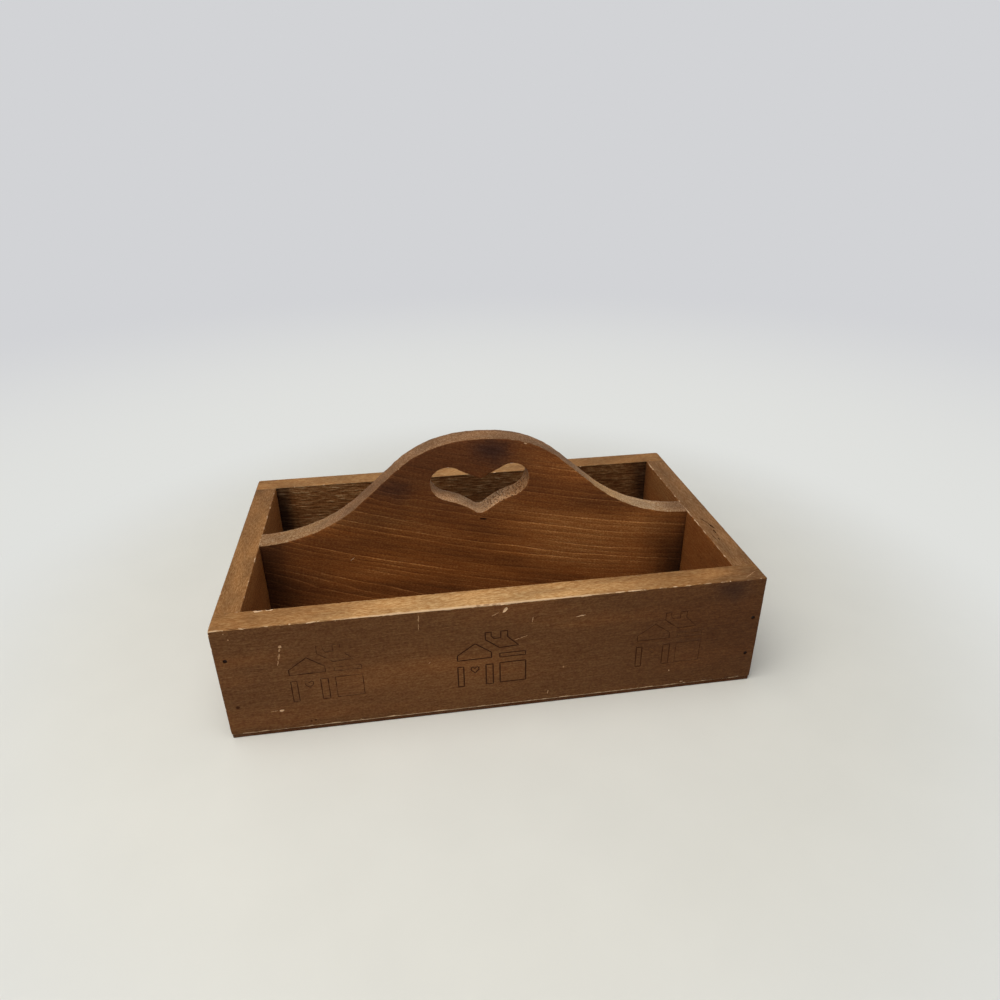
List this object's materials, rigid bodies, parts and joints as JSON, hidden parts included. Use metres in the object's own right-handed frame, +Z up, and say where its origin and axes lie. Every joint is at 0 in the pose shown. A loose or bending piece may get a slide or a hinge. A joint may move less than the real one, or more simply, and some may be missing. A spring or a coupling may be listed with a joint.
{
  "type": "wooden caddy",
  "caption": "Open wooden carrying caddy of stained pine boards, split lengthwise by a divider that rises into an arched handle with a heart-shaped hand-hole.",
  "frame": {"origin": "on the resting surface, under the middle of the box", "axes": "+X along the length to the right as seen from the front, +Y from front to back, +Z up"},
  "size_m": [0.381, 0.2286, 0.1689],
  "materials": {
    "stained_pine": "dark walnut stain under a worn satin varnish",
    "stained_panel": "thin stained sheet, matt",
    "nail_steel": "dull, browned with age"
  },
  "bodies": {
    "root": {"front_board": "stained_pine", "back_board": "stained_pine", "left_end_board": "stained_pine", "right_end_board": "stained_pine", "divider": "stained_pine", "bottom_panel": "stained_panel", "front_left_nails": "nail_steel", "front_right_nails": "nail_steel", "back_left_nails": "nail_steel", "back_right_nails": "nail_steel", "left_divider_nails": "nail_steel", "right_divider_nails": "nail_steel", "front_panel_nails": "nail_steel", "back_panel_nails": "nail_steel", "left_panel_nails": "nail_steel", "right_panel_nails": "nail_steel", "divider_panel_nails": "nail_steel"}
  },
  "joints": []
}
